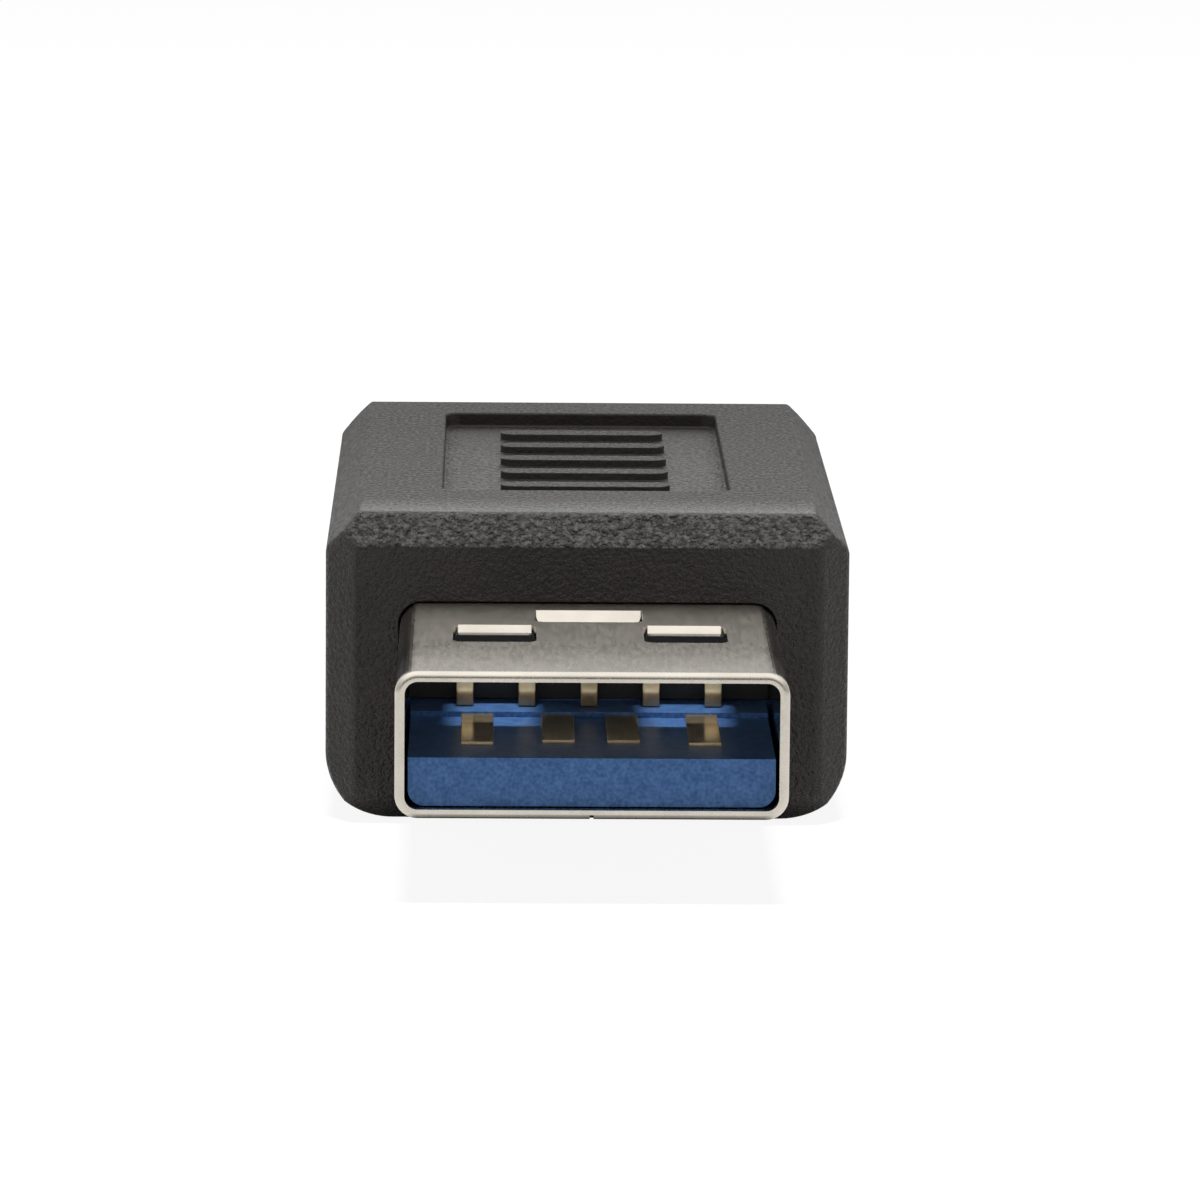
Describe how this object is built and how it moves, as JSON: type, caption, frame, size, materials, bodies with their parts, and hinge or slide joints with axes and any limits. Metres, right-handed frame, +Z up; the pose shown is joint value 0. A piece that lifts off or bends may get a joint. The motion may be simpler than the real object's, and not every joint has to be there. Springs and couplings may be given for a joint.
{
  "type": "usb adapter",
  "caption": "Short black moulded adapter with a Standard-A plug at one end and a reversible female port at the other, joined by a small board inside.",
  "frame": {"origin": "middle of the part's box, on the flat underside of the body", "axes": "+Z up, the plug points along -Y, the rear port faces +Y, +X to the right when looking at the plug's mouth"},
  "size_m": [0.0168, 0.0376, 0.01],
  "materials": {
    "black_plastic": "fine spark-eroded texture",
    "natural_plastic": "natural",
    "plug_steel": "satin",
    "blue_plastic": "satin",
    "carrier_black": "satin",
    "flat_contact_gold": "bright",
    "spring_contact_gold": "bright",
    "board_green": "solder mask",
    "chip_black": "matt",
    "chip_ceramic": "matt",
    "port_steel": "satin",
    "port_black": "satin",
    "pin_gold": "bright"
  },
  "bodies": {
    "root": {"body": "black_plastic", "inner_mould": "natural_plastic", "plug_shell": "plug_steel", "plug_insulator": "blue_plastic", "contact_carrier": "carrier_black", "power_contact": "flat_contact_gold", "data_minus_contact": "flat_contact_gold", "data_plus_contact": "flat_contact_gold", "ground_contact": "flat_contact_gold", "receive_minus_contact": "spring_contact_gold", "receive_plus_contact": "spring_contact_gold", "drain_contact": "spring_contact_gold", "transmit_minus_contact": "spring_contact_gold", "transmit_plus_contact": "spring_contact_gold", "circuit_board": "board_green", "switch_chip": "chip_black", "resistors": "chip_black", "capacitors": "chip_ceramic", "port_shell": "port_steel", "port_insulator": "port_black", "port_mid_plate": "port_steel", "port_upper_contacts": "pin_gold", "port_lower_contacts": "pin_gold", "port_ground_pads": "port_steel"}
  },
  "joints": []
}
